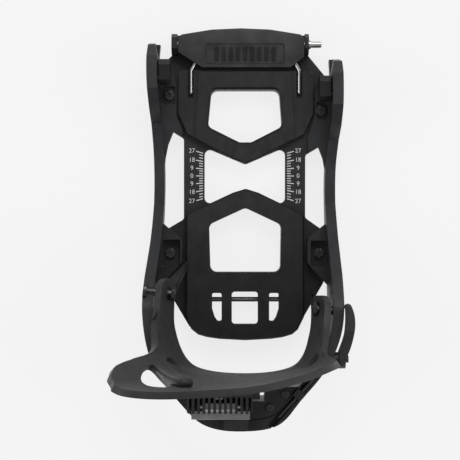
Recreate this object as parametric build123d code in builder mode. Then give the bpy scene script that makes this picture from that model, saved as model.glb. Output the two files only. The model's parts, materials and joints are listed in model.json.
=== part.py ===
"""Strapless step-in snowboard binding for the right foot.

Millimetres. The origin is the centre of the disc opening, on the underside of the base.
+Y points to the toe, +X to the outer side of the foot and +Z up. A helper function that
draws or cuts a shape works on the part being built when it is called.
"""

import math
import os

from build123d import *

# --- driving dimensions -------------------------------------------------------------------
PAD_TOP = 3.0  # foam pad under the chassis
CHASSIS_TOP = 9.0
FLANGE_TOP = 13.5  # front flanges of the frame
BOSS_TOP = 19.0  # rear flanges of the frame
FOOTBED_TOP = 16.0
RAIL_BOTTOM = 1.5
WALL = 7.5  # rails and hoop
FIN_SHIFT = 12.0  # the right toe fin stands this much further back
SHELL = 4.5  # highback wall
PIVOT_LEFT, PIVOT_RIGHT = (-58.0, -84.0, 70.0), (56.0, -96.0, 70.0)  # on the highback's axis
BOLT_LEFT, BOLT_RIGHT = -69.4, 65.4  # seats of the pivot bolts' heads, sunk in the rails
LEVER_Y, LEVER_Z = -130.0, 76.0  # release lever axis, along X
PIN_Y, PIN_Z, PIN_R = 96.5, 15.5, 2.5  # toe cross pin
ROD_Y, ROD_Z, ROD_R = -91.4, 6.0, 1.8  # cross rod of the chassis
HOUSING_FRONT, HOUSING_LOW, HOUSING_TOP = -148.5, 44.0, 82.0
LATCH_LOW, LATCH_HIGH, LATCH_HALF = 58.0, 68.0, 10.0
LATCH_REAR = -161.2  # rear face of the latch, against its spring
CHANNEL_HALF, CHANNEL_REAR = 13.0, -158.4  # channel for the heel cleat
SPRING_SEAT = -168.6
COVER_TOP = 85.0
BLOCK_FRONT, BLOCK_REAR, BLOCK_LOW = -147.5, -162.5, 86.4  # lean adjuster
RUN = 0.05  # radial clearance of a running fit
GAP = 0.3  # clearance between neighbouring bodies

# outer edge of the frame, from the left toe tip round the heel to the right toe tip
FRAME_OUTER = [
    (-70.0, 97.0),
    (-71.0, 70.0),
    (-68.8, 40.0),
    (-66.8, 10.0),
    (-66.8, -20.0),
    (-69.2, -55.0),
    (-72.4, -88.0),
    (-70.8, -112.0),
    (-62.0, -139.0),
    (-50.0, -155.0),
    (-42.0, -164.0),
    (-33.0, -172.6),
    (-20.5, -177.8),
    (0.0, -179.2),
    (13.0, -178.0),
    (23.0, -174.6),
    (36.5, -160.0),
    (50.5, -143.8),
    (61.4, -126.0),
    (67.4, -107.0),
    (68.6, -88.0),
    (67.4, -55.0),
    (66.2, -20.0),
    (66.8, 10.0),
    (69.0, 31.0),
    (70.4, 60.0),
    (69.6, 86.0),
]
FRAME_SCREWS = [(-55.2, -57.0), (54.5, -57.0), (-56.0, 59.5), (56.2, 48.0)]
HOOK_SCREWS = [(-67.6, 70.5, 30.0), (-67.6, 80.5, 18.5), (66.6, 58.5, 30.0), (66.6, 68.5, 18.5)]
CHASSIS_OUTLINE = [
    (-54.0, 104.0),
    (46.7, 104.0),
    (46.7, 89.0),
    (59.8, 73.0),
    (59.8, 24.4),
    (44.6, 15.4),
    (44.5, -31.0),
    (58.0, -40.5),
    (58.0, -79.0),
    (48.8, -95.0),
    (39.0, -112.0),
    (30.0, -116.0),
    (-30.0, -116.0),
    (-41.0, -111.6),
    (-52.2, -92.6),
    (-58.0, -79.0),
    (-58.0, -39.5),
    (-45.2, -32.0),
    (-45.2, 27.6),
    (-59.8, 36.6),
    (-59.8, 84.0),
    (-54.0, 89.0),
]
FRONT_WINDOW = [(-24.8, 63.4), (25.2, 63.4), (27.2, 36.2), (4.5, 24.6), (-4.1, 24.6), (-27.4, 36.2)]
DISC_WINDOW = [(-30.0, 21.5), (0.3, 8.6), (29.8, 21.5), (29.8, -22.0), (0.3, -9.8), (-30.0, -22.0)]
REAR_WINDOW = [(0.3, -23.6), (26.6, -36.0), (26.0, -71.0), (-25.6, -71.0), (-26.6, -36.0)]
HEEL_CUTS = [(-25.5, -16.0), (-11.0, 10.6), (16.0, 26.0)]  # X ranges of the cuts under the heel slots
SLOT_FRONT, SLOT_REAR = -85.8, -108.6  # heel slots of the footbed

STAND = (Align.CENTER, Align.CENTER, Align.MIN)
HANG = (Align.CENTER, Align.CENTER, Align.MAX)


# --- helpers ------------------------------------------------------------------------------
def inset(points, distance):
    """The points moved by distance to the left of the path's direction."""
    moved = []
    for i, (x, y) in enumerate(points):
        x0, y0 = points[max(i - 1, 0)]
        x1, y1 = points[min(i + 1, len(points) - 1)]
        length = math.hypot(x1 - x0, y1 - y0)
        moved.append((x - (y1 - y0) / length * distance, y + (x1 - x0) / length * distance))
    return moved


def save(made, label):
    made.part.label = label
    export_step(made.part, f"parts/{label}.step")


def prism(plane, points, depth, radius=0.0, mode=Mode.ADD):
    """Extrudes the outline points, drawn on plane, by depth along its normal."""
    with BuildSketch(plane) as outline:
        with BuildLine():
            Polyline(*points, close=True)
        make_face()
        if radius:
            fillet(outline.vertices(), radius)
    extrude(outline.sketch, amount=depth, mode=mode)


def plate(points, low, high, radius=0.0, mode=Mode.ADD):
    """A plate with the plan outline points (X, Y), from height low to high."""
    prism(Plane.XY.offset(low), points, high - low, radius, mode)


def block(x_low, x_high, y_low, y_high, low, high, radius=0.0, mode=Mode.ADD):
    """A rectangular plate, its four upright edges rounded by radius."""
    corners = [(x_low, y_low), (x_high, y_low), (x_high, y_high), (x_low, y_high)]
    plate(corners, low, high, radius, mode)


def on_pivot(x):
    """The point of the highback's pivot axis at x."""
    slope = (PIVOT_RIGHT[1] - PIVOT_LEFT[1]) / (PIVOT_RIGHT[0] - PIVOT_LEFT[0])
    return (x, PIVOT_LEFT[1] + slope * (x - PIVOT_LEFT[0]), PIVOT_LEFT[2])


def side_prism(points, x_low, x_high, radius=0.0, mode=Mode.ADD):
    """A prism with the side outline points (Y, Z), from x_low to x_high."""
    prism(Plane.YZ.offset(x_low), points, x_high - x_low, radius, mode)


def front_prism(points, y_low, y_high, radius=0.0, mode=Mode.ADD):
    """A prism with the front outline points (X, Z), from y_low to y_high."""
    prism(Plane.XZ.offset(-y_high), points, y_high - y_low, radius, mode)


def bar(start, end, radius, mode=Mode.ADD):
    """A round bar from start to end."""
    path = Vector(*end) - Vector(*start)
    with Locations(Plane(origin=start, z_dir=path)):
        Cylinder(radius, path.length, align=STAND, mode=mode)


def screw(seat, up, length, shank=2.0, head_radius=3.6, head=2.6):
    """A socket-head screw: its head stands on seat towards up, its shank goes the other way."""
    plane = Plane(origin=seat, z_dir=up)
    with Locations(plane):
        Cylinder(head_radius, head, align=STAND)
        Cylinder(shank, length, align=HANG)
    with BuildSketch(plane.offset(head)) as socket:
        RegularPolygon(head_radius * 0.48, 6)
    extrude(socket.sketch, amount=-head * 0.6, mode=Mode.SUBTRACT)


def band(points, thickness, height):
    """A sketch face: a strip of the given thickness round the centre line points."""
    with BuildSketch(Plane.XY.offset(height)) as strip:
        with BuildLine():
            one = Spline(*inset(points, thickness / 2))
            other = Spline(*inset(points, -thickness / 2))
            Line(one @ 0, other @ 0)
            Line(one @ 1, other @ 1)
        make_face()
    return strip.sketch


# --- base ---------------------------------------------------------------------------------
def base_plate(low, high, margin):
    """The chassis outline, its edges moved by margin, with the three windows and the heel cut."""
    with BuildSketch(Plane.XY.offset(low)) as outline:
        with BuildLine():
            Polyline(*CHASSIS_OUTLINE, close=True)
        make_face()
        fillet(outline.vertices(), 3.0)
        offset(amount=margin, kind=Kind.INTERSECTION)
    extrude(outline.sketch, amount=high - low)
    plate(FRONT_WINDOW, low, high, 5.0, Mode.SUBTRACT)
    plate(DISC_WINDOW, low, high, 4.0, Mode.SUBTRACT)
    plate(REAR_WINDOW, low, high, 5.0, Mode.SUBTRACT)
    for x_low, x_high in HEEL_CUTS:
        block(x_low, x_high, SLOT_REAR - 1.4, SLOT_FRONT + 1.2, low, high, 2.0, Mode.SUBTRACT)


def make_base():
    with BuildPart() as base_pad:
        base_plate(0, PAD_TOP, -1.0)
        for x, y in FRAME_SCREWS:
            bar((x, y, -1), (x, y, 10), 4.0, Mode.SUBTRACT)
    save(base_pad, "base_pad")

    lug = [(89.0, 8.0), (104.0, 8.0), (104.0, 18.0), (101.0, 23.0), (93.0, 23.0), (89.0, 19.0)]
    with BuildPart() as chassis:
        base_plate(PAD_TOP, CHASSIS_TOP, 0.0)
        side_prism(lug, -54.0, -49.8, 1.0)
        side_prism(lug, 43.8, 46.7, 1.0)
        bar((-60, PIN_Y, PIN_Z), (60, PIN_Y, PIN_Z), PIN_R, Mode.SUBTRACT)
        bar((-38, ROD_Y, ROD_Z), (38, ROD_Y, ROD_Z), ROD_R, Mode.SUBTRACT)
        for x, y in FRAME_SCREWS:
            bar((x, y, 0), (x, y, 20), 2.0, Mode.SUBTRACT)
    save(chassis, "chassis")

    with BuildPart() as cross_rod:
        bar((-38, ROD_Y, ROD_Z), (38, ROD_Y, ROD_Z), ROD_R)
    save(cross_rod, "cross_rod")

    with BuildPart() as toe_cross_pin:
        bar((-53.8, PIN_Y, PIN_Z), (56.6, PIN_Y, PIN_Z), PIN_R)
        bar((46.8, PIN_Y, PIN_Z), (48.2, PIN_Y, PIN_Z), PIN_R + 0.9)
        chamfer(toe_cross_pin.edges().filter_by(GeomType.CIRCLE).sort_by(Axis.X)[-1], 0.9)
    save(toe_cross_pin, "toe_cross_pin")


def make_scale_marks():
    """Angle marks on the two strips beside the disc opening, every 3 degrees up to 27."""
    with BuildPart() as scale_marks:
        for side in (-1, 1):
            for angle in range(-27, 28, 3):
                long_mark = angle % 9 == 0
                inner, outer = (31.1, 36.2) if long_mark else (31.1, 33.9)
                with BuildSketch(Plane.XY.offset(CHASSIS_TOP)) as mark:
                    with Locations((side * (inner + outer) / 2, 34.5 * math.tan(math.radians(angle)))):
                        Rectangle(outer - inner, 0.7, rotation=side * angle * 0.6)
                extrude(mark.sketch, amount=0.2)
    save(scale_marks, "scale_marks")


def make_footbeds():
    with BuildPart() as footbed_front:
        outline = [
            (-49.0, 78.0),
            (50.0, 77.0),
            (50.0, 46.0),
            (43.5, 31.0),
            (10.0, 12.5),
            (0.4, 8.8),
            (-9.5, 12.5),
            (-42.5, 31.0),
            (-49.0, 46.0),
        ]
        plate(outline, CHASSIS_TOP, FOOTBED_TOP - 2.0, 2.0)
        raised = [
            (-34.0, 76.6), (33.4, 76.6), (36.4, 28.0), (9.0, 13.4), (0.4, 10.0), (-8.5, 13.4),
            (-37.0, 28.0),
        ]
        plate(raised, FOOTBED_TOP - 2.5, FOOTBED_TOP, 1.5)
        plate(FRONT_WINDOW, 0, 30, 5.0, Mode.SUBTRACT)
        rim = footbed_front.faces().sort_by(Axis.Z)[-1].inner_wires()[0]
        chamfer(rim.edges(), 1.8)
        for x in (-40.0, 40.0):
            block(x - 2.2, x + 2.2, 57.5, 80.0, 10.2, 30.0, 1.0, Mode.SUBTRACT)
    save(footbed_front, "footbed_front")

    with BuildPart() as footbed_rear:
        outline = [
            (0.4, -9.6),
            (-9.0, -12.5),
            (-43.4, -28.6),
            (-43.6, -104.0),
            (-39.6, -113.0),
            (-34.6, -117.0),
            (-28.0, -118.9),
            (-19.0, -120.2),
            (0.0, -121.2),
            (19.0, -120.2),
            (28.0, -118.9),
            (34.8, -116.8),
            (38.8, -113.4),
            (43.4, -104.0),
            (43.2, -28.6),
            (9.8, -12.5),
        ]
        plate(outline, CHASSIS_TOP, FOOTBED_TOP, 2.0)
        chamfer(footbed_rear.faces().sort_by(Axis.Z)[-1].edges(), 0.9)
        plate(REAR_WINDOW, 0, 30, 5.0, Mode.SUBTRACT)
        block(-9.8, 9.4, SLOT_REAR - 0.6, SLOT_FRONT + 0.4, 0.0, 30.0, 2.4, Mode.SUBTRACT)
        for side in (-1, 1):
            slot = [
                (-3.5, -86.4), (3.5, -86.4), (3.5, -98.0), (1.6, -104.0), (-0.4, -107.0),
                (-3.5, -107.0),
            ]
            plate([(0.2 + side * (21.0 + x), y) for x, y in slot], 0, 30, 1.4, Mode.SUBTRACT)
    save(footbed_rear, "footbed_rear")


# --- frame --------------------------------------------------------------------------------
def rail_top(shift):
    """Upper side outline (Y, Z) of a rail; shift moves the toe fin back."""
    return [
        (98.0 - shift, 12.0),
        (94.0 - shift, 38.0),
        (85.0 - shift, 47.0),
        (62.0 - shift, 48.0),
        (48.0 - shift, 38.0),
        (38.0 - shift, 23.0),
        (22.0 - shift, 19.0),
        (-20.0, 19.0),
        (-46.0, 38.0),
        (-72.0, 64.0),
        (-92.0, 77.0),
        (-125.0, 82.0),
        (-190.0, 86.0),
    ]


RAIL_UNDERSIDE = [(-108.0, RAIL_BOTTOM), (-126.0, 14.0), (-150.0, 36.0), (-165.0, 44.0), (-190.0, 46.0)]
# centre line of the pull rod, on the straight rear right run of the hoop
ROD_HIGH, ROD_LOW = (46.6, -142.6), (22.4, -169.6)
PULL_Z, PULL_R = 83.2, 1.7


def along_rod(distance, height=PULL_Z):
    """The point at distance from the lever end of the pull rod's line, towards the heel."""
    length = math.dist(ROD_HIGH, ROD_LOW)
    x = ROD_HIGH[0] + (ROD_LOW[0] - ROD_HIGH[0]) * distance / length
    y = ROD_HIGH[1] + (ROD_LOW[1] - ROD_HIGH[1]) * distance / length
    return (x, y, height)


def make_hoop_frame():
    flanges = [
        [
            (-64.5, 4.0),
            (-59.4, 4.0),
            (-58.6, 13.0),
            (-56.6, 23.0),
            (-52.9, 32.2),
            (-46.8, 28.6),
            (-46.2, 33.0),
            (-50.6, 44.0),
            (-50.6, 66.0),
            (-55.0, 86.0),
            (-64.5, 86.0),
        ],
        [
            (65.0, -10.0),
            (60.2, -10.0),
            (59.3, 1.0),
            (57.2, 12.5),
            (54.0, 21.0),
            (46.6, 16.6),
            (46.4, 28.0),
            (51.6, 45.0),
            (51.6, 62.0),
            (58.0, 73.0),
            (65.0, 73.0),
        ],
        [(-63.5, -32), (-57, -38), (-46.6, -46), (-45.9, -50), (-46.3, -64), (-57.6, -76), (-66.5, -84)],
        [(63.5, -32), (56, -38), (46.3, -45.5), (45.6, -51), (45.6, -64), (58, -78), (64.5, -84)],
    ]
    recesses = [
        (-60.6, -47.6, -66.6, -47.0),
        (48.2, 60.4, -66.6, -47.8),
        (-61.0, -51.5, 53.0, 66.0),
        (52.6, 61.0, 41.6, 54.6),
    ]
    with BuildPart() as hoop_frame:
        with BuildSketch():
            with BuildLine():
                outer = Spline(*FRAME_OUTER)
                inner = Spline(*inset(FRAME_OUTER, WALL))
                Line(outer @ 0, inner @ 0)
                Line(outer @ 1, inner @ 1)
            make_face()
        extrude(amount=90)
        for x_low, shift in ((-90, 0), (0, FIN_SHIFT)):
            side_prism(
                [(110, 12), *rail_top(shift), (-190, 100), (110, 100)], x_low, x_low + 90,
                mode=Mode.SUBTRACT,
            )
        side_prism(
            [(110, -10), (110, RAIL_BOTTOM), *RAIL_UNDERSIDE, (-190, -10)], -90, 90,
            mode=Mode.SUBTRACT,
        )
        for i, outline in enumerate(flanges):
            plate(outline, CHASSIS_TOP, FLANGE_TOP if i < 2 else BOSS_TOP)
        bar((58.5, LEVER_Y, LEVER_Z), (64.2, LEVER_Y, LEVER_Z), 5.0)
        for x_low, x_high, y_low, y_high in recesses:
            block(x_low, x_high, y_low, y_high, 11.0, 40.0, 1.5, Mode.SUBTRACT)
        for x, y in FRAME_SCREWS:
            bar((x, y, 0), (x, y, 30), 2.05, Mode.SUBTRACT)
        for x_in, seat, x_out in ((-50, BOLT_LEFT, -80), (50, BOLT_RIGHT, 80)):
            bar(on_pivot(x_in), on_pivot(seat), 3.0, Mode.SUBTRACT)
            bar(on_pivot(seat), on_pivot(x_out), 6.3, Mode.SUBTRACT)
        bar((45, LEVER_Y, LEVER_Z), (80, LEVER_Y, LEVER_Z), 2.5 + RUN, Mode.SUBTRACT)
        bar((40, LEVER_Y, LEVER_Z), (49.5, LEVER_Y, LEVER_Z), 6.6, Mode.SUBTRACT)
        bar(along_rod(-9), along_rod(45), PULL_R + 0.4, Mode.SUBTRACT)
        bar(along_rod(-9, PULL_Z + 2), along_rod(45, PULL_Z + 2), PULL_R + 0.4, Mode.SUBTRACT)
        for x, y, z in HOOK_SCREWS:
            bar((x * 0.6, y, z), (x * 1.2, y, z), 1.7, Mode.SUBTRACT)
            bar((x, y, z), (x * 1.2, y, z), 3.4, Mode.SUBTRACT)
        plate([(-62.4, 80), (-66.2, 100), (-50, 100), (-50, 80)], 12, 60, mode=Mode.SUBTRACT)
        plate([(62.0, 68), (64.6, 88), (50, 88), (50, 68)], 12, 60, mode=Mode.SUBTRACT)
    save(hoop_frame, "hoop_frame")

    with BuildPart() as frame_screws:
        for x, y in FRAME_SCREWS:
            screw((x, y, 11.0), (0, 0, 1), 7.0)
    save(frame_screws, "frame_screws")


def make_toe_hooks():
    for label, base_y, x_low, x_high in (("left", 66.0, -62.7, -54.4), ("right", 54.0, 54.0, 61.9)):
        outline = [
            (base_y + 18.0, FLANGE_TOP),
            (base_y + 18.0, 33.0),
            (base_y + 14.0, 37.0),
            (base_y + 2.5, 37.0),
            (base_y, 34.0),
            (base_y, 26.5),
            (base_y + 3.0, 24.0),
            (base_y + 11.0, 23.0),
            (base_y + 12.0, 20.0),
            (base_y + 11.0, FLANGE_TOP),
        ]
        with BuildPart() as hook:
            side_prism(outline, x_low, x_high, 0.8)
            for x, y, z in HOOK_SCREWS:
                bar((x * 0.7, y, z), (x, y, z), 1.6, Mode.SUBTRACT)
        save(hook, f"toe_hook_{label}")

    with BuildPart() as toe_hook_screws:
        for x, y, z in HOOK_SCREWS:
            screw((x, y, z), (x, 0, 0), 9.5, 1.6, 3.0, 2.0)
    save(toe_hook_screws, "toe_hook_screws")


# --- toe ramp -----------------------------------------------------------------------------
def ramp_wire(side):
    """One guide wire: it comes out of the ramp, runs along its slot and bends down at its end."""
    bends = [(36.6, 83.6, 14.2), (40.0, 77.4, 14.2), (40.0, 60.6, 14.2), (40.0, 60.6, 11.4)]
    points = [Vector(side * x, y, z) for x, y, z in bends]
    with BuildLine() as path:
        FilletPolyline(*points, radius=1.5)
    with BuildSketch(Plane(origin=points[0], z_dir=points[1] - points[0])) as section:
        Circle(1.2)
    sweep(section.sketch, path=path.wire())


def make_toe_ramp():
    plan = [
        (-49.2, 100.0),
        (-46.5, 102.8),
        (-24.0, 106.4),
        (-3.0, 107.4),
        (18.0, 106.4),
        (40.5, 102.8),
        (43.2, 100.0),
        (43.2, 87.0),
        (33.5, 79.6),
        (-31.5, 79.6),
        (-49.2, 90.4),
    ]
    top = [
        (70.0, 17.4),
        (80.0, 19.0),
        (88.0, 21.6),
        (100.0, 24.8),
        (106.0, 25.0),
        (110.0, 22.6),
        (110.0, 9.3),
        (70.0, 9.3),
    ]
    hollow = [(84.0, 8.0), (84.0, 16.0), (85.5, 18.4), (100.0, 18.4), (100.0, 8.0)]
    recess = [(-29.6, 81.6), (29.0, 81.6), (29.0, 96.4), (-29.6, 96.4)]
    with BuildPart() as ramp_wires:
        ramp_wire(-1)
        ramp_wire(1)
    save(ramp_wires, "ramp_wires")

    with BuildPart() as toe_ramp:
        plate(plan, CHASSIS_TOP + GAP, 40.0, 1.5)
        side_prism(top, -60, 60, mode=Mode.INTERSECT)
        plate(recess, 10, 40, 2.5, Mode.SUBTRACT)
        side_prism([(81.0, 10.0), (81.0, 17.6), (88.0, 20.0), (97.0, 22.7), (97.0, 10.0)], -30, 30)
        side_prism(hollow, -60, 60, mode=Mode.SUBTRACT)
        add(ramp_wires.part, mode=Mode.SUBTRACT)
    save(toe_ramp, "toe_ramp")

    with BuildPart() as ramp_grip:
        for i in range(9):
            x = -20.8 + i * 5.2
            side_prism([(84.0, 18.85), (94.0, 22.0), (94.0, 22.9), (84.0, 19.8)], x - 1.3, x + 1.3)
    save(ramp_grip, "ramp_grip")


# --- highback -----------------------------------------------------------------------------
# centre line of the shell's wall at each height, from the left ear round the heel to the right
SHELL_LINES = {
    54.0: [
        (-51, -66), (-51.4, -92), (-47, -115), (-31, -136), (0, -141.5), (30, -136), (42.5, -115),
        (48, -98), (49, -80),
    ],
    84.0: [
        (-59, -66), (-60.6, -92), (-57, -112), (-38, -136), (0, -141.7), (35, -136), (52, -115),
        (56.2, -98), (57, -80),
    ],
    100.0: [
        (-64, -88), (-63.2, -104), (-59.5, -119), (-41, -136), (0, -141.6), (37, -136), (53, -119),
        (55.8, -109), (57, -98),
    ],
    122.0: [
        (-66, -114), (-62.5, -123), (-55, -131), (-40, -137), (0, -141), (36, -136), (50, -128),
        (54.8, -123), (58, -115),
    ],
    145.0: [
        (-71, -116), (-67.5, -124), (-58, -132), (-42, -137.5), (0, -140.4), (36, -135),
        (50, -128), (55.2, -124), (60, -118),
    ],
    170.0: [
        (-79, -117), (-75, -124.5), (-63, -133.5), (-44, -138), (0, -139.8), (35, -134),
        (49, -128), (55.4, -124.6), (62, -119),
    ],
    190.0: [
        (-88, -120), (-83.5, -127), (-70, -135.5), (-45, -138.4), (0, -138.8), (34, -132.4),
        (48, -127), (55.6, -124), (62, -119),
    ],
    205.0: [
        (-92, -123), (-85.6, -131), (-72, -136.8), (-45, -138.6), (0, -137.6), (33, -131),
        (47, -126), (55.6, -122), (62, -117),
    ],
    240.0: [
        (-95, -130), (-84, -135.5), (-72, -138), (-46, -138.6), (0, -135.4), (28, -129.5),
        (44, -124), (54, -119.5), (61, -115),
    ],
}
EAR_EDGE = [
    (-86.0, 56.0), (-78.0, 56.5), (-74.5, 62.0), (-74.5, 77.0), (-80.0, 84.5), (-94.0, 89.5),
    (-104.0, 98.0),
]
LEFT_EDGE = [
    *EAR_EDGE,
    (-114.0, 108.0),
    (-121.0, 122.0),
    (-122.6, 145.0),
    (-123.6, 170.0),
    (-126.0, 188.0),
    (-129.5, 200.0),
    (-134.0, 217.0),
    (-136.0, 240.0),
    (-136.0, 250.0),
]
RIGHT_EDGE = [*[(y - 12.0, z) for y, z in EAR_EDGE], (-121.0, 107.0), (-123.5, 118.0), (-123.0, 250.0)]
LOWER_EDGE = [
    (-112.0, 64.0), (-121.0, 70.0), (-131.0, 76.0), (-137.0, 79.5), (-170.0, 80.0), (-170.0, 40.0),
]
TOP_EDGE = [
    (-100.0, 196.0),
    (-88.0, 211.0),
    (-82.0, 224.0),
    (-70.0, 231.0),
    (-40.0, 233.0),
    (0.0, 229.0),
    (26.0, 221.0),
    (48.0, 206.0),
    (57.0, 190.0),
    (64.0, 165.0),
]
WING_HOLE = [
    (-62.0, 146.0),
    (-66.5, 165.0),
    (-67.5, 185.0),
    (-62.0, 202.0),
    (-52.0, 207.0),
    (-47.8, 199.0),
    (-50.0, 180.0),
    (-55.5, 157.0),
]
STRAP_SLOT = [(38.0, 104.0), (49.5, 104.0), (49.5, 111.0), (38.0, 111.0)]


def make_highback():
    with BuildPart() as highback_shell:
        loft([band(points, SHELL, height) for height, points in SHELL_LINES.items()], ruled=True)
        for edge, x_low in ((LEFT_EDGE, -110.0), (RIGHT_EDGE, 0.0)):
            ahead = [*edge, (-50.0, 250.0), (-50.0, 40.0), (edge[0][0], 40.0)]
            below = [edge[0], *LOWER_EDGE, (edge[0][0], 40.0)]
            side_prism(ahead, x_low, x_low + 110, mode=Mode.SUBTRACT)
            side_prism(below, x_low, x_low + 110, mode=Mode.SUBTRACT)
        with BuildSketch(Plane.XZ.offset(50)) as outside:
            with BuildLine():
                edge = Spline(*TOP_EDGE)
                Polyline(
                    edge @ 1, (130.0, 160.0), (130.0, 260.0), (-130.0, 260.0), (-130.0, 172.0),
                    edge @ 0,
                )
            make_face()
        extrude(outside.sketch, amount=120, mode=Mode.SUBTRACT)
        with BuildSketch(Plane.XZ.offset(100)) as hole:
            with BuildLine():
                Spline(*WING_HOLE, periodic=True)
            make_face()
        extrude(hole.sketch, amount=60, mode=Mode.SUBTRACT)
        front_prism(STRAP_SLOT, -150, -110, 3.0, Mode.SUBTRACT)
        for x_in, x_out in ((-52.6, -63.6), (50.3, 59.6)):
            bar(on_pivot(x_in), on_pivot(x_out), 7.0)
            bar(on_pivot(x_in * 0.7), on_pivot(x_in), 6.2, Mode.SUBTRACT)
            bar(on_pivot(x_in * 0.8), on_pivot(x_out * 1.1), 3.0 + RUN, Mode.SUBTRACT)
    save(highback_shell, "highback_shell")

    along = Vector(*on_pivot(1)) - Vector(*on_pivot(0))
    with BuildPart() as pivot_bolts:
        for side_sign, seat, tip in ((-1, -BOLT_LEFT, 49.0), (1, BOLT_RIGHT, 46.6)):
            screw(on_pivot(side_sign * seat), along * side_sign, seat - tip, 3.0, 6.0, 2.6)
    save(pivot_bolts, "pivot_bolts")

    with BuildPart() as pivot_nuts:
        for side_sign, face in ((-1, 52.2), (1, 49.9)):
            with BuildSketch(Plane(origin=on_pivot(side_sign * face), z_dir=along * -side_sign)) as nut:
                RegularPolygon(5.4, 6)
                Circle(3.0, mode=Mode.SUBTRACT)
            extrude(nut.sketch, amount=2.8)
    save(pivot_nuts, "pivot_nuts")


# --- forward lean adjuster ----------------------------------------------------------------
RACK_LOW, RACK_HIGH = 92.0, 168.0
RACK_X, RACK_BACK = -18.0, -146.9
LEAN_PIN_Z = 116.0


def make_lean_adjuster():
    with BuildPart() as lean_rack:
        block(RACK_X - 8, RACK_X + 8, RACK_BACK, RACK_BACK + 2.6, RACK_LOW, RACK_HIGH, 1.0)
        for i in range(17):
            z = RACK_LOW + 6 + i * 4
            side_prism(
                [(RACK_BACK + 1, z + 1.8), (RACK_BACK - 0.4, z), (RACK_BACK + 1, z - 1.8)],
                RACK_X - 5, RACK_X + 5,
            )
        for z in (RACK_LOW + 3, RACK_HIGH - 3):
            bar((RACK_X, -140, z), (RACK_X, -155, z), 1.5, Mode.SUBTRACT)
    save(lean_rack, "lean_rack")

    with BuildPart() as rack_screws:
        for z in (RACK_LOW + 3, RACK_HIGH - 3):
            screw((RACK_X, RACK_BACK, z), (0, -1, 0), 2.5, 1.5, 2.4, 1.2)
    save(rack_screws, "rack_screws")

    with BuildPart() as lean_adjuster:
        block(-40.0, 4.0, BLOCK_REAR, BLOCK_FRONT, BLOCK_LOW, 124.0, 2.0)
        block(-15.6, 1.6, -177.6, -160.0, BLOCK_LOW, BLOCK_LOW + 4.6, 1.0)
        for i in range(12):
            x = -37.5 + i * 3.6
            block(x - 0.9, x + 0.9, -164.0, -151.5, 102.0, 130.0, mode=Mode.SUBTRACT)
        block(-29.0, -7.0, -170.0, -153.0, 93.0, 121.0, mode=Mode.SUBTRACT)
        bar((-45, -158.0, LEAN_PIN_Z), (5, -158.0, LEAN_PIN_Z), 1.5, Mode.SUBTRACT)
        block(RACK_X - 9, RACK_X + 9, BLOCK_FRONT - 0.9, BLOCK_FRONT + 1, 80.0, 130.0, mode=Mode.SUBTRACT)
    save(lean_adjuster, "lean_adjuster")

    with BuildPart() as lean_lock_lever:
        lever = [
            (-155.4, 119.0),
            (-160.6, 119.0),
            (-162.2, 112.0),
            (-164.6, 96.0),
            (-161.6, 95.0),
            (-157.0, 101.0),
            (-155.4, 112.0),
        ]
        side_prism(lever, -28.6, -7.4, 1.0)
        lip = [(-163.0, 99.4), (-166.5, 99.4), (-169.6, 97.4), (-169.6, 95.2), (-163.0, 95.2)]
        side_prism(lip, -37.5, 2.5, 0.8)
        bar((-45, -158.0, LEAN_PIN_Z), (5, -158.0, LEAN_PIN_Z), 1.5 + RUN, Mode.SUBTRACT)
    save(lean_lock_lever, "lean_lock_lever")

    with BuildPart() as lean_lever_pin:
        bar((-33.0, -158.0, LEAN_PIN_Z), (-3.0, -158.0, LEAN_PIN_Z), 1.5)
    save(lean_lever_pin, "lean_lever_pin")


# --- heel lock ----------------------------------------------------------------------------
def hoop_filling(low, high, clearance):
    """The space inside the hoop behind the highback, clearance short of the wall."""
    with BuildSketch(Plane.XY.offset(low)) as space:
        with BuildLine():
            edge = Spline(*inset(FRAME_OUTER, WALL + clearance))
            Line(edge @ 1, edge @ 0)
        make_face()
        with Locations((0, HOUSING_FRONT)):
            Rectangle(200, 80, align=(Align.CENTER, Align.MAX), mode=Mode.INTERSECT)
    extrude(space.sketch, amount=high - low)


COVER_SCREWS = [(-30.0, -153.5), (27.0, -153.5), (-18.0, -164.5), (16.6, -162.5)]


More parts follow.
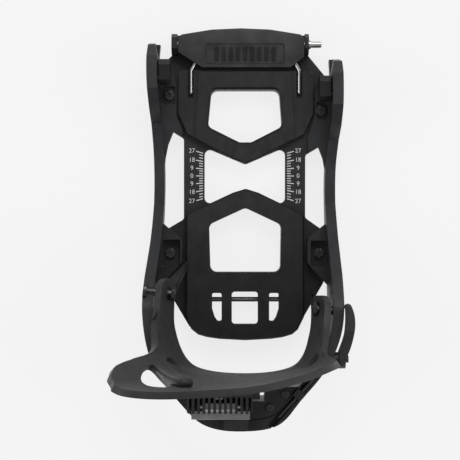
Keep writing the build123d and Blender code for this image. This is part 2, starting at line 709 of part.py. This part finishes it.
def make_heel_lock():
    with BuildPart() as heel_housing:
        hoop_filling(HOUSING_LOW, HOUSING_TOP, 0.2)
        block(-CHANNEL_HALF, CHANNEL_HALF, CHANNEL_REAR, -140, 40, 90, mode=Mode.SUBTRACT)
        side = LATCH_HALF + 0.1
        block(-side, side, SPRING_SEAT, -156, LATCH_LOW - 0.1, LATCH_HIGH + 0.1, mode=Mode.SUBTRACT)
        bar((0, SPRING_SEAT - 2.4, 63), (0, SPRING_SEAT + 2, 63), 1.0, Mode.SUBTRACT)
        for x, y in COVER_SCREWS:
            bar((x, y, 70), (x, y, 90), 1.5, Mode.SUBTRACT)
    save(heel_housing, "heel_housing")

    with BuildPart() as housing_cover:
        hoop_filling(HOUSING_TOP, COVER_TOP - 0.6, 0.4)
        block(-CHANNEL_HALF, CHANNEL_HALF, CHANNEL_REAR, -140, 40, 90, mode=Mode.SUBTRACT)
        for x, y in COVER_SCREWS:
            bar((x, y, 70), (x, y, 90), 1.5, Mode.SUBTRACT)
    save(housing_cover, "housing_cover")

    with BuildPart() as housing_screws:
        for x, y in COVER_SCREWS:
            screw((x, y, COVER_TOP - 0.6), (0, 0, 1), 9.0, 1.5, 2.6, 1.5)
    save(housing_screws, "housing_screws")

    with BuildPart() as heel_latch:
        tooth = [
            (LATCH_REAR, LATCH_LOW),
            (LATCH_REAR + 7.0, LATCH_LOW),
            (LATCH_REAR + 7.0, 61.0),
            (LATCH_REAR + 2.6, LATCH_HIGH),
            (LATCH_REAR, LATCH_HIGH),
        ]
        side_prism(tooth, -LATCH_HALF, LATCH_HALF)
        chamfer(heel_latch.edges().filter_by(Axis.X).sort_by(Axis.Y)[-1], 0.4)
    save(heel_latch, "heel_latch")

    with BuildPart() as spring_stud:
        bar((0, SPRING_SEAT - 2.4, 63), (0, SPRING_SEAT + 2.4, 63), 1.0)
    save(spring_stud, "spring_stud")

    with BuildPart() as latch_spring:
        coil_length = LATCH_REAR - SPRING_SEAT - 1.2
        with BuildLine() as coil:
            Helix(
                coil_length / 4.0, coil_length, 2.2, center=(0, SPRING_SEAT + 0.6, 63),
                direction=(0, 1, 0),
            )
        with BuildSketch(Plane(origin=coil.line @ 0, z_dir=coil.line % 0)) as wire:
            Circle(0.45)
        sweep(wire.sketch, path=coil.wire(), is_frenet=True)
    save(latch_spring, "latch_spring")


# --- release lever ------------------------------------------------------------------------
def make_release_lever():
    with BuildPart() as release_lever:
        with BuildSketch(Plane.XY.offset(LEVER_Z - 6.0)) as arm:
            with BuildLine():
                outside = Spline(
                    (64.9, -136.0), (69.6, -128.5), (74.2, -114.5), (75.3, -101.5), (72.4, -91.8),
                )
                inside = Spline((64.9, -124.0), (66.9, -118.0), (68.7, -107.5), (68.8, -95.0))
                Line(outside @ 0, inside @ 0)
                ThreePointArc(outside @ 1, (70.0, -91.2), inside @ 1)
            make_face()
        extrude(arm.sketch, amount=20.0)
        side = [
            (-137, 69.5), (-137, 82), (-126, 84), (-110, 87), (-92, 86), (-87, 83), (-92, 78.4),
            (-112, 77.8), (-122, 69.5),
        ]
        side_prism(side, 60, 80, mode=Mode.INTERSECT)
        bar((64.5, LEVER_Y, LEVER_Z), (69.2, LEVER_Y, LEVER_Z), 6.5)
        bar((60, LEVER_Y, LEVER_Z), (80, LEVER_Y, LEVER_Z), 2.5, Mode.SUBTRACT)
    save(release_lever, "release_lever")

    with BuildPart() as lever_shaft:
        bar((46.6, LEVER_Y, LEVER_Z), (71.4, LEVER_Y, LEVER_Z), 2.5)
    save(lever_shaft, "lever_shaft")

    with BuildPart() as lever_crank:
        crank = [
            (-126.2, 73.4), (-126.2, 79.0), (-128.8, 80.6), (-131.2, 80.0), (-132.6, 77.6),
            (-132.6, 74.6), (-130.0, 71.8),
        ]
        side_prism(crank, 47.0, 49.0, 1.0)
        bar((45, LEVER_Y, LEVER_Z), (55, LEVER_Y, LEVER_Z), 2.5, Mode.SUBTRACT)
    save(lever_crank, "lever_crank")

    with BuildPart() as pull_rod:
        bar(along_rod(0), along_rod(math.dist(ROD_HIGH, ROD_LOW)), PULL_R)
    save(pull_rod, "pull_rod")

    with BuildPart() as rod_clip:
        middle = along_rod(12, 0)
        across = Plane(
            origin=middle, z_dir=(ROD_LOW[0] - ROD_HIGH[0], ROD_LOW[1] - ROD_HIGH[1], 0),
            x_dir=(0, 0, 1),
        )
        arch = [
            (84.0, 3.6), (87.6, 3.6), (87.6, -3.6), (84.0, -3.6), (84.0, -2.2), (86.0, -2.2),
            (86.0, 2.2), (84.0, 2.2),
        ]
        prism(across, arch, 6.0)
    save(rod_clip, "rod_clip")


os.makedirs("parts", exist_ok=True)
make_base()
make_scale_marks()
make_footbeds()
make_hoop_frame()
make_toe_hooks()
make_toe_ramp()
make_highback()
make_lean_adjuster()
make_heel_lock()
make_release_lever()
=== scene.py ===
import json
import math
import bmesh
import bpy
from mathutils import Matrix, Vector


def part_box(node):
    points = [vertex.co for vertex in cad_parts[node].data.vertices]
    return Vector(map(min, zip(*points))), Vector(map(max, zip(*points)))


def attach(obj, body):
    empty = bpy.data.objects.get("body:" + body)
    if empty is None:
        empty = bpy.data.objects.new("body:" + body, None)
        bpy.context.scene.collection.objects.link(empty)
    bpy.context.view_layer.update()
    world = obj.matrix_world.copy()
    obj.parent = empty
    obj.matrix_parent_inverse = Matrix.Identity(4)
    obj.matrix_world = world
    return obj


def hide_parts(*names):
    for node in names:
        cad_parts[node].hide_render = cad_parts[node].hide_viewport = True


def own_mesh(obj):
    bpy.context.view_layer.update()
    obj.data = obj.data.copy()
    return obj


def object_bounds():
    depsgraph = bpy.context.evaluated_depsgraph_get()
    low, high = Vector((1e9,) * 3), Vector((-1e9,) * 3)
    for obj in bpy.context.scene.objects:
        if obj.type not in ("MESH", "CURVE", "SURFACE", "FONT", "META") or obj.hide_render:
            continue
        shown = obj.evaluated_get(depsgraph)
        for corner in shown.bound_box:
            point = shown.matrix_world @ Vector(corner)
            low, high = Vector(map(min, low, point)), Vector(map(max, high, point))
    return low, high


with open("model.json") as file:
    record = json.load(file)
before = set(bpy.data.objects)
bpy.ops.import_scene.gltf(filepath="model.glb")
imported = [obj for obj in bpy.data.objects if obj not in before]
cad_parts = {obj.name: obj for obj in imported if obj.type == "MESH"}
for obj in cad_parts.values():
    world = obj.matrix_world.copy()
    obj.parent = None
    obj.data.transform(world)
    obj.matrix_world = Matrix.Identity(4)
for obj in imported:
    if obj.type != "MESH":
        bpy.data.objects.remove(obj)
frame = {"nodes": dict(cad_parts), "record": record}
cad_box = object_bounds()
MM = 0.001


# Materials: each is a node tree of its own, in object coordinates, so that it moves with its piece.

def new_material(name):
    """A material with its Principled shader, its node tree and its object coordinates."""
    material = bpy.data.materials.new(name)
    material.use_nodes = True
    tree = material.node_tree
    shader = tree.nodes["Principled BSDF"]
    coordinates = tree.nodes.new("ShaderNodeTexCoord").outputs["Object"]
    return material, tree, shader, coordinates


def noise(tree, coordinates, scale, detail=2.0, stretch=(1, 1, 1)):
    """Noise in metres: scale is in features per metre, and stretch draws it out along an axis."""
    mapping = tree.nodes.new("ShaderNodeMapping")
    mapping.inputs["Scale"].default_value = stretch
    tree.links.new(coordinates, mapping.inputs["Vector"])
    node = tree.nodes.new("ShaderNodeTexNoise")
    node.inputs["Scale"].default_value = scale
    node.inputs["Detail"].default_value = detail
    tree.links.new(mapping.outputs["Vector"], node.inputs["Vector"])
    return node.outputs["Fac"]


def spread(tree, factor, low, high, start=0.3, end=0.7):
    """factor from start to end, spread over low to high."""
    node = tree.nodes.new("ShaderNodeMapRange")
    node.inputs["From Min"].default_value = start
    node.inputs["From Max"].default_value = end
    node.inputs["To Min"].default_value = low
    node.inputs["To Max"].default_value = high
    tree.links.new(factor, node.inputs["Value"])
    return node.outputs["Result"]


def ramp(tree, factor, dark, light, start=0.3, end=0.7):
    """A blend of two colours by factor."""
    node = tree.nodes.new("ShaderNodeValToRGB")
    node.color_ramp.elements[0].position = start
    node.color_ramp.elements[0].color = (*dark, 1)
    node.color_ramp.elements[1].position = end
    node.color_ramp.elements[1].color = (*light, 1)
    tree.links.new(factor, node.inputs["Fac"])
    return node.outputs["Color"]


def bump(tree, shader, heights):
    """Bumps of (factor, depth in metres, strength) one on the other."""
    last = None
    for factor, depth, strength in heights:
        node = tree.nodes.new("ShaderNodeBump")
        node.inputs["Distance"].default_value = depth
        node.inputs["Strength"].default_value = strength
        tree.links.new(factor, node.inputs["Height"])
        if last:
            tree.links.new(last, node.inputs["Normal"])
        last = node.outputs["Normal"]
    tree.links.new(last, shader.inputs["Normal"])


def plastic(name, grey, rough, grain=2600, depth=0.00004, tint=(1.0, 1.0, 1.04), specular=0.5,
            cloudy=0.22):
    """Moulded nylon: cloudy colour, a fine spark-eroded grain, faint flow waves and scuffs."""
    material, tree, shader, where = new_material(name)
    cloud = noise(tree, where, 90, 6)
    dark = [grey * (1 - cloudy) * t for t in tint]
    light = [grey * (1 + cloudy) * t for t in tint]
    tree.links.new(ramp(tree, cloud, dark, light), shader.inputs["Base Color"])
    scuff = noise(tree, where, 320, 5, (1, 0.3, 1))
    tree.links.new(spread(tree, scuff, rough - 0.07, rough + 0.08), shader.inputs["Roughness"])
    shader.inputs["Specular IOR Level"].default_value = specular
    grains, waves = noise(tree, where, grain, 2), noise(tree, where, 45, 2)
    bump(tree, shader, [(grains, depth, 0.6), (waves, 0.0004, 0.15)])
    return material


def metal(name, colour, rough, brush=(1, 1, 1), depth=0.00002):
    """Steel or aluminium: brushed along one axis, a little dull in patches."""
    material, tree, shader, where = new_material(name)
    shader.inputs["Metallic"].default_value = 1.0
    patch = noise(tree, where, 90, 4)
    dark = [c * 0.75 for c in colour]
    tree.links.new(ramp(tree, patch, dark, colour), shader.inputs["Base Color"])
    lines = noise(tree, where, 1800, 3, brush)
    tree.links.new(spread(tree, lines, rough - 0.08, rough + 0.12), shader.inputs["Roughness"])
    bump(tree, shader, [(lines, depth, 0.5)])
    return material


def rubber(name, grey, rough):
    """Foam and rubber: matt, pored."""
    material, tree, shader, where = new_material(name)
    cells = tree.nodes.new("ShaderNodeTexVoronoi")
    cells.inputs["Scale"].default_value = 900
    tree.links.new(where, cells.inputs["Vector"])
    cloud = noise(tree, where, 70, 4)
    tree.links.new(ramp(tree, cloud, [grey * 0.7] * 3, [grey * 1.3] * 3), shader.inputs["Base Color"])
    tree.links.new(spread(tree, cloud, rough - 0.06, rough + 0.06), shader.inputs["Roughness"])
    shader.inputs["Specular IOR Level"].default_value = 0.25
    bump(tree, shader, [(cells.outputs["Distance"], 0.0002, 0.5)])
    return material


def ink(name, grey):
    """Pad-printed paint: slightly uneven and worn."""
    material, tree, shader, where = new_material(name)
    worn = noise(tree, where, 1500, 4)
    tree.links.new(ramp(tree, worn, [grey * 0.8] * 3, [grey] * 3, 0.3, 0.6), shader.inputs["Base Color"])
    tree.links.new(spread(tree, worn, 0.5, 0.65), shader.inputs["Roughness"])
    bump(tree, shader, [(worn, 0.00003, 0.4)])
    return material


FINISH = {
    "pad": rubber("foam_pad", 0.02, 0.85),
    "chassis": plastic("chassis_nylon", 0.015, 0.5, tint=(0.97, 1.0, 1.06)),
    "frame": plastic("frame_nylon", 0.024, 0.46, tint=(0.96, 1.0, 1.1), specular=0.45),
    "footbed": plastic("footbed_nylon", 0.014, 0.42, grain=1500, depth=0.00003, cloudy=0.42),
    "ramp": plastic("ramp_nylon", 0.045, 0.48, cloudy=0.35),
    "highback": plastic("highback_nylon", 0.03, 0.5, specular=0.45),
    "hook": plastic("hook_nylon", 0.012, 0.4, specular=0.4),
    "lever": plastic("lever_nylon", 0.025, 0.42),
    "steel": metal("brushed_steel", (0.4, 0.4, 0.4), 0.3, (0.05, 1, 1)),
    "screw": metal("blackened_screw", (0.1, 0.1, 0.105), 0.35),
    "bright": metal("bright_steel", (0.8, 0.79, 0.77), 0.22, (0.05, 1, 1)),
    "adjuster": plastic("adjuster_nylon", 0.03, 0.4),
    "housing": plastic("housing_nylon", 0.02, 0.45),
    "marks": ink("white_print", 0.8),
}
NODE_SLOT = {part["node"]: part["material_slot"] for part in frame["record"]["subparts"]}


def paint(piece, slot):
    """One finish over the whole piece."""
    piece.data.materials.clear()
    piece.data.materials.append(FINISH[slot])


for node, piece in frame["nodes"].items():
    paint(piece, NODE_SLOT[node])


def soften(node, width):
    """Rounds a CAD node's sharp edges, as its mould would, without touching its mesh."""
    piece = frame["nodes"][node]
    piece.data.polygons.foreach_set("use_smooth", [True] * len(piece.data.polygons))
    weld = piece.modifiers.new("weld", "WELD")
    weld.merge_threshold = 0.00002
    edge = piece.modifiers.new("edge", "BEVEL")
    edge.width = width
    edge.segments = 2
    edge.limit_method = "ANGLE"
    edge.angle_limit = math.radians(35)
    edge.harden_normals = True
    normals = piece.modifiers.new("normals", "WEIGHTED_NORMAL")
    normals.keep_sharp = True
    normals.weight = 80


SOFT_EDGES = {  # width of each node's rounded edges, mm
    "base_pad": 0.3, "chassis": 0.6, "footbed_front": 0.6, "footbed_rear": 0.6, "hoop_frame": 1.0,
    "toe_hook_left": 0.5, "toe_hook_right": 0.5, "toe_ramp": 0.6,
    "lean_adjuster": 0.5, "lean_lock_lever": 0.4, "heel_housing": 0.5, "housing_cover": 0.4,
    "heel_latch": 0.3, "release_lever": 0.8, "lean_rack": 0.3, "rod_clip": 0.3, "ramp_grip": 0.3,
    "frame_screws": 0.15, "pivot_bolts": 0.3, "pivot_nuts": 0.2, "toe_hook_screws": 0.15,
    "rack_screws": 0.15, "housing_screws": 0.15, "cross_rod": 0.2, "toe_cross_pin": 0.3,
}
for node, width in SOFT_EDGES.items():
    soften(node, width * MM)


# Helpers for the pieces made here.

def add_piece(name, maker, body, slot):
    """Makes a shown piece of a bmesh, which rides on body and takes slot's finish."""
    mesh = bpy.data.meshes.new(name)
    bmesh.ops.recalc_face_normals(maker, faces=maker.faces)
    maker.to_mesh(mesh)
    maker.free()
    mesh.polygons.foreach_set("use_smooth", [True] * len(mesh.polygons))
    piece = bpy.data.objects.new(name, mesh)
    bpy.context.scene.collection.objects.link(piece)
    paint(piece, slot)
    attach(piece, body)
    return piece


def skin(maker, rings):
    """Joins closed rings of vertices one to the next, and closes both ends."""
    for one, two in zip(rings, rings[1:]):
        for k in range(len(one)):
            after = (k + 1) % len(one)
            maker.faces.new((one[k], one[after], two[after], two[k]))
    maker.faces.new(rings[0])
    maker.faces.new(list(reversed(rings[-1])))


def between(table, value):
    """The table's second column at value of its first, which rises, by straight runs."""
    if value <= table[0][0]:
        return table[0][1]
    for (x0, y0), (x1, y1) in zip(table, table[1:]):
        if value <= x1:
            return y0 + (y1 - y0) * (value - x0) / (x1 - x0)
    return table[-1][1]


def through(points, place):
    """The point at place, counted in points, on a smooth curve through points."""
    index = min(max(int(place), 0), len(points) - 2)
    part = place - index
    p1, p2 = points[index], points[index + 1]
    p0 = points[index - 1] if index else [2 * a - b for a, b in zip(p1, p2)]
    p3 = points[index + 2] if index + 2 < len(points) else [2 * b - a for a, b in zip(p1, p2)]
    place_on = []
    for a, b, c, d in zip(p0, p1, p2, p3):
        bend = (2 * a - 5 * b + 4 * c - d) * part ** 2 + (3 * b - a - 3 * c + d) * part ** 3
        place_on.append(0.5 * (2 * b + (c - a) * part + bend))
    return place_on


def curve(table, steps=8):
    """A table with smooth runs between its points."""
    return [tuple(through(table, i / steps)) for i in range(steps * (len(table) - 1) + 1)]


def solve(test, low, high):
    """Where test turns from true at low to false at high."""
    for _ in range(24):
        middle = (low + high) / 2
        if test(middle):
            low = middle
        else:
            high = middle
    return (low + high) / 2


def signed_distance(outline, x, z):
    """Distance from a closed outline, below zero inside."""
    nearest, inside = 1e9, False
    for (x0, z0), (x1, z1) in zip(outline, outline[1:] + outline[:1]):
        length = (x1 - x0) ** 2 + (z1 - z0) ** 2
        part = min(max(((x - x0) * (x1 - x0) + (z - z0) * (z1 - z0)) / length, 0), 1)
        nearest = min(nearest, math.hypot(x - x0 - part * (x1 - x0), z - z0 - part * (z1 - z0)))
        if (z0 > z) != (z1 > z) and x < x0 + (z - z0) * (x1 - x0) / (z1 - z0):
            inside = not inside
    return -nearest if inside else nearest


def round_outline(points, steps=6):
    """A closed smooth outline through points."""
    count = len(points)
    ring = [points[(i - 1) % count] for i in range(count + 3)]
    return [tuple(through(ring, 1 + i / steps)) for i in range(count * steps)]


def cut_hole(maker, outline, side):
    """Cuts the outline (X, Z), in mm, out of a sheet, on the side of X that side gives: the points
    nearest the outline move onto it, faces it crosses are split, and the faces inside are removed."""
    distance = {}
    for vertex in maker.verts:
        if vertex.co.x * side > 0:
            distance[vertex] = signed_distance(outline, vertex.co.x / MM, vertex.co.z / MM)
    for edge in maker.edges:
        one, two = edge.verts
        if one not in distance or two not in distance or distance[one] * distance[two] >= 0:
            continue
        near, far = (one, two) if abs(distance[one]) < abs(distance[two]) else (two, one)
        part = abs(distance[near]) / (abs(distance[near]) + abs(distance[far]))
        near.co = near.co.lerp(far.co, part)
        distance[near] = 0.0
    for face in list(maker.faces):
        if len(face.verts) != 4 or not all(v in distance for v in face.verts):
            continue
        signs = [distance[v] for v in face.verts]
        if min(signs) < 0 < max(signs):
            zeros = [v for v in face.verts if distance[v] == 0]
            along_edge = any(e.verts[0] in zeros and e.verts[1] in zeros for e in face.edges)
            if len(zeros) == 2 and not along_edge:
                bmesh.utils.face_split(face, zeros[0], zeros[1])
    inside = []
    for face in maker.faces:
        centre = face.calc_center_median()
        if all(v in distance and distance[v] <= 0 for v in face.verts):
            if signed_distance(outline, centre.x / MM, centre.z / MM) < 0:
                inside.append(face)
    bmesh.ops.delete(maker, geom=inside, context="FACES")


# Highback: one moulded shell with a rolled rim, a wing with a drop-shaped opening, and a rib beside it.
# All in mm. A section is the middle of the wall (X, Y) from the left edge to the right at a height.

SHELL = 4.5  # wall
RIM_ROUND = 1.5
SHELL_LINES = [
    (54, [(-51, -66), (-51.4, -92), (-47, -115), (-31, -136), (0, -141.5),
          (30, -136), (42.5, -115), (48, -98), (49, -80)]),
    (84, [(-59, -66), (-60.6, -92), (-57, -112), (-38, -136), (0, -141.7),
          (35, -136), (52, -115), (56.2, -98), (57, -80)]),
    (100, [(-64, -88), (-63.2, -104), (-59.5, -119), (-41, -136), (0, -141.6),
           (37, -136), (53, -119), (55.8, -109), (57, -98)]),
    (122, [(-66, -114), (-62.5, -123), (-55, -131), (-40, -137), (0, -141),
           (36, -136), (50, -128), (54.8, -123), (58, -115)]),
    (145, [(-71, -116), (-67.5, -124), (-58, -132), (-42, -137.5), (0, -140.4),
           (36, -135), (50, -128), (55.2, -124), (60, -118)]),
    (170, [(-79, -117), (-75, -124.5), (-63, -133.5), (-44, -138), (0, -139.8),
           (35, -134), (49, -128), (55.4, -124.6), (62, -119)]),
    (190, [(-88, -120), (-83.5, -127), (-70, -135.5), (-45, -138.4), (0, -138.8),
           (34, -132.4), (48, -127), (55.6, -124), (62, -119)]),
    (205, [(-92, -123), (-85.6, -131), (-72, -136.8), (-45, -138.6), (0, -137.6),
           (33, -131), (47, -126), (55.6, -122), (62, -117)]),
    (240, [(-95, -130), (-84, -135.5), (-72, -138), (-46, -138.6), (0, -135.4),
           (28, -129.5), (44, -124), (54, -119.5), (61, -115)]),
]
LAST_PLACE = len(SHELL_LINES[0][1]) - 1
# Front edges, as (Z, Y): the ears, which the pivot bolts pass through, and the edges above them.
EAR = [(56, -86), (56.5, -78), (62, -74.5), (77, -74.5), (84.5, -80), (89.5, -94), (98, -104)]
RIGHT_EAR_BACK = -12  # the right ear sits this far behind the left one
LEFT_FRONT = curve(EAR + [
    (108, -114), (122, -121), (145, -122.6), (170, -123.6), (188, -126), (200, -129.5),
    (217, -134), (240, -136),
])
RIGHT_FRONT = curve([(z, y + RIGHT_EAR_BACK) for z, y in EAR] + [
    (107, -120.5), (118, -123.2), (145, -123.6), (240, -123),
])
# Lower edge, as (Y, Z), up to the foot of each ear.
LOWER = [(-170, 80), (-137, 79.5), (-131, 76), (-121, 70), (-112, 64)]
EAR_FOOT = (-86, 56)
LOWER_LEFT = LOWER + [EAR_FOOT]
LOWER_RIGHT = LOWER + [(EAR_FOOT[0] + RIGHT_EAR_BACK, EAR_FOOT[1])]
LOWER_RANGE = (56, 90)  # heights between which the lower edge runs
# Rim, as (X, Z).
RIM = curve([
    (-100, 196), (-88, 211), (-82, 224), (-70, 231), (-40, 233), (0, 229), (26, 221), (48, 206),
    (57, 190), (64, 165),
])
RIM_RANGE = (150, 239)  # heights between which the rim runs
# Openings, as (X, Z).
WING_HOLE = [
    (-62, 146), (-66.5, 165), (-67.5, 185), (-62, 202), (-52, 207), (-47.8, 199), (-50, 180),
    (-55.5, 157),
]
STRAP_SLOT = [
    (38.6, 103), (44, 101.6), (49, 104), (50, 112), (48.6, 121), (44, 122), (39, 114), (38, 108),
]
EAR_SLOT = [(-55.5, 117), (-50, 114), (-44.5, 107), (-47, 103), (-53, 105)]


def shell_point(height, place):
    """The middle of the wall (X, Y, Z) at a height, at a place from 0, left, to LAST_PLACE, right."""
    heights = [line[0] for line in SHELL_LINES]
    index = max(i for i in range(len(heights) - 1) if heights[i] <= height or i == 0)
    part = (height - heights[index]) / (heights[index + 1] - heights[index])
    lower, upper = SHELL_LINES[index][1], SHELL_LINES[index + 1][1]
    x0, y0 = through(lower, place)
    x1, y1 = through(upper, place)
    return (x0 + (x1 - x0) * part, y0 + (y1 - y0) * part, height)


def shell_span(height):
    """The places where the shell starts and ends at a height."""
    left, right = between(LEFT_FRONT, height), between(RIGHT_FRONT, height)
    start = solve(lambda t: shell_point(height, t)[1] > left, 0, LAST_PLACE / 2)
    end = solve(lambda t: shell_point(height, LAST_PLACE - t)[1] > right, 0, LAST_PLACE / 2)
    return start, LAST_PLACE - end


def highback(columns=116, rows=60):
    """The shell as a sheet between its edges, with its openings cut, then given its wall and rim."""
    spans = {}

    def at(share, height):
        key = round(height, 3)
        if key not in spans:
            spans[key] = shell_span(key)
        start, end = spans[key]
        return shell_point(height, start + share * (end - start))

    def under(share, height):
        x, y, _ = at(share, height)
        return height < between(LOWER_LEFT if x < 0 else LOWER_RIGHT, y)

    maker = bmesh.new()
    grid = []
    for i in range(columns + 1):
        share = i / columns
        low = solve(lambda z: under(share, z), *LOWER_RANGE)
        high = solve(lambda z: z < between(RIM, at(share, z)[0]), *RIM_RANGE)
        heights = [low + (high - low) * j / rows for j in range(rows + 1)]
        grid.append([maker.verts.new([c * MM for c in at(share, z)]) for z in heights])
    for one, two in zip(grid, grid[1:]):
        for j in range(rows):
            maker.faces.new((one[j], two[j], two[j + 1], one[j + 1]))
    bmesh.ops.smooth_vert(maker, verts=[v for v in maker.verts if not v.is_boundary], factor=0.5,
                          use_axis_x=True, use_axis_y=True, use_axis_z=True)
    cut_hole(maker, round_outline(WING_HOLE), -1)
    cut_hole(maker, round_outline(STRAP_SLOT), 1)
    cut_hole(maker, round_outline(EAR_SLOT), -1)
    piece = add_piece("highback_moulding", maker, "highback", "highback")
    thick = piece.modifiers.new("thick", "SOLIDIFY")
    thick.thickness = SHELL * MM
    thick.offset = 0
    thick.use_even_offset = True
    edge = piece.modifiers.new("rim", "BEVEL")
    edge.width = RIM_ROUND * MM
    edge.segments = 4
    edge.limit_method = "ANGLE"
    edge.angle_limit = math.radians(50)
    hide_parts("highback_shell")


def sweep(name, path, sizes, body, slot, normal, steps=24, power=3.0, ring=20):
    """A rounded bar along a smooth path: sizes gives (width, height) at each of its points, in mm."""
    maker = bmesh.new()
    rings = []
    last = len(path) - 1
    for i in range(steps + 1):
        place = i / steps * last
        centre = Vector(through(path, place))
        before, after = through(path, max(place - 0.02, 0)), through(path, min(place + 0.02, last))
        ahead = (Vector(after) - Vector(before)).normalized()
        across = ahead.cross(Vector(normal)).normalized()
        up = across.cross(ahead)
        width, height = through(sizes, place)
        end = min(i, steps - i) / steps * 8  # 0 at either end, 1 an eighth of the way in
        shrink = 1.0 if end >= 1 else math.sqrt(1 - (1 - end) ** 2) * 0.35 + 0.65
        loop = []
        for k in range(ring):
            angle = 2 * math.pi * k / ring
            c, s = math.cos(angle), math.sin(angle)
            u = math.copysign(abs(c) ** (2 / power), c) * width / 2 * shrink
            v = math.copysign(abs(s) ** (2 / power), s) * height / 2 * shrink
            loop.append(maker.verts.new((centre + across * u + up * v) * MM))
        rings.append(loop)
    skin(maker, rings)
    add_piece(name, maker, body, slot)


highback()
RIB_PATH = [(-57.5, -129.6, 134), (-53, -131.4, 156), (-45.5, -133.6, 182), (-37.5, -133.8, 205)]
RIB_SIZES = [(9, 4), (10.5, 5), (11, 6.5), (11, 7.5)]
sweep("wing_rib", RIB_PATH, RIB_SIZES, "highback", "highback", (0, 1, 0))


# Latch spring, between the housing and the latch. The real one closes up as the latch moves back, but
# this coil is fixed to the base.

COIL_WIRE = 0.45  # radius of the wire, mm


def latch_coil(turns=4, per_turn=24, ring=10):
    """A round wire coiled along Y in the box of the CAD spring, which it replaces."""
    low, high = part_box("latch_spring")
    wire = COIL_WIRE * MM
    radius = (high.z - low.z) / 2 - wire
    maker = bmesh.new()
    rings = []
    for i in range(turns * per_turn + 1):
        share = i / (turns * per_turn)
        angle = 2 * math.pi * turns * share
        out = Vector((math.cos(angle), 0, math.sin(angle)))
        along = low.y + wire + (high.y - low.y - 2 * wire) * share
        middle = Vector(((low.x + high.x) / 2, along, (low.z + high.z) / 2)) + out * radius
        loop = []
        for k in range(ring):
            turn = 2 * math.pi * k / ring
            offset = out * wire * math.cos(turn) + Vector((0, wire, 0)) * math.sin(turn)
            loop.append(maker.verts.new(middle + offset))
        rings.append(loop)
    skin(maker, rings)
    piece = add_piece("latch_coil", maker, "base", "steel")
    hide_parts("latch_spring")
    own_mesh(piece)


latch_coil()


# Angle numbers beside the marks, each level with its mark's outer end, in mm.

NUMBER_SIZE = 4.6
NUMBER_THICK = 0.04
NUMBER_SUNK = 0.1
NUMBER_SIDE = 39.3  # from the middle of the binding
MARK_REACH = 36.57  # of a mark's outer end, from the middle of the binding
NUMBERED_ANGLES = (-27, -18, -9, 0, 9, 18, 27)


def number_mesh(angle):
    """An angle's digits, as a mesh."""
    text = bpy.data.curves.new("number", "FONT")
    text.body = str(abs(angle))
    text.size = NUMBER_SIZE * MM
    text.align_x = "CENTER"
    text.align_y = "CENTER"
    text.extrude = NUMBER_THICK * MM
    holder = bpy.data.objects.new("number", text)
    bpy.context.scene.collection.objects.link(holder)
    bpy.context.view_layer.update()
    mesh = bpy.data.meshes.new_from_object(holder.evaluated_get(bpy.context.evaluated_depsgraph_get()))
    bpy.data.objects.remove(holder)
    return mesh


def numbers():
    _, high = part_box("scale_marks")
    for side, side_name in ((-1, "left"), (1, "right")):
        for angle in NUMBERED_ANGLES:
            word = "toe" if angle > 0 else "heel" if angle < 0 else "middle"
            name = f"number_{side_name}_{word}_{abs(angle)}"
            piece = bpy.data.objects.new(name, number_mesh(angle))
            bpy.context.scene.collection.objects.link(piece)
            along = MARK_REACH * math.tan(math.radians(angle)) * MM
            piece.location = (side * NUMBER_SIDE * MM, along, high.z - NUMBER_SUNK * MM)
            paint(piece, "marks")
            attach(piece, "base")


numbers()


# Studio: pale floor, soft lights, and the camera straight above. All in metres.

FLOOR_GLOW = 0.8
FLOOR_GAP = 0.0005  # below the lowest point


def floor():
    """A pale sheet that glows a little, as a lit backdrop does."""
    mesh = bpy.data.meshes.new("floor")
    maker = bmesh.new()
    bmesh.ops.create_grid(maker, x_segments=2, y_segments=2, size=3.0)
    maker.to_mesh(mesh)
    maker.free()
    piece = bpy.data.objects.new("floor", mesh)
    bpy.context.scene.collection.objects.link(piece)
    piece.location.z = cad_box[0][2] - FLOOR_GAP
    material, tree, shader, where = new_material("pale_floor")
    shade = noise(tree, where, 3, 2)
    tree.links.new(ramp(tree, shade, (0.13, 0.13, 0.13), (0.14, 0.14, 0.14)), shader.inputs["Base Color"])
    shader.inputs["Roughness"].default_value = 0.9
    shader.inputs["Emission Color"].default_value = (1, 1, 1, 1)
    shader.inputs["Emission Strength"].default_value = FLOOR_GLOW
    mesh.materials.append(material)


LAMP_AIM = Vector((0, 0, 0.05))


def lamp(name, place, size, power):
    """A soft rectangular light aimed at the binding."""
    data = bpy.data.lights.new(name, "AREA")
    data.shape = "RECTANGLE"
    data.size, data.size_y = size
    data.energy = power
    piece = bpy.data.objects.new(name, data)
    bpy.context.scene.collection.objects.link(piece)
    piece.location = place
    piece.rotation_euler = (LAMP_AIM - Vector(place)).to_track_quat("-Z", "Y").to_euler()


floor()
lamp("key_front", (0.2, 1.2, 1.5), (1.2, 0.8), 12)
lamp("fill_left", (-1.3, -0.2, 0.9), (1.0, 1.0), 6)
lamp("fill_right", (1.3, -0.2, 0.9), (1.0, 1.0), 6)

scene = bpy.context.scene
world = bpy.data.worlds.new("studio")
scene.world = world
world.use_nodes = True
world.node_tree.nodes["Background"].inputs["Color"].default_value = (1, 1, 1, 1)
world.node_tree.nodes["Background"].inputs["Strength"].default_value = 0.3
scene.view_settings.view_transform = "Standard"

camera_data = bpy.data.cameras.new("camera")
camera = bpy.data.objects.new("camera", camera_data)
scene.collection.objects.link(camera)
camera.location = (-0.0111, -0.040, 1.150)
camera_data.lens = 120.6
camera_data.sensor_width = 36.0
scene.camera = camera
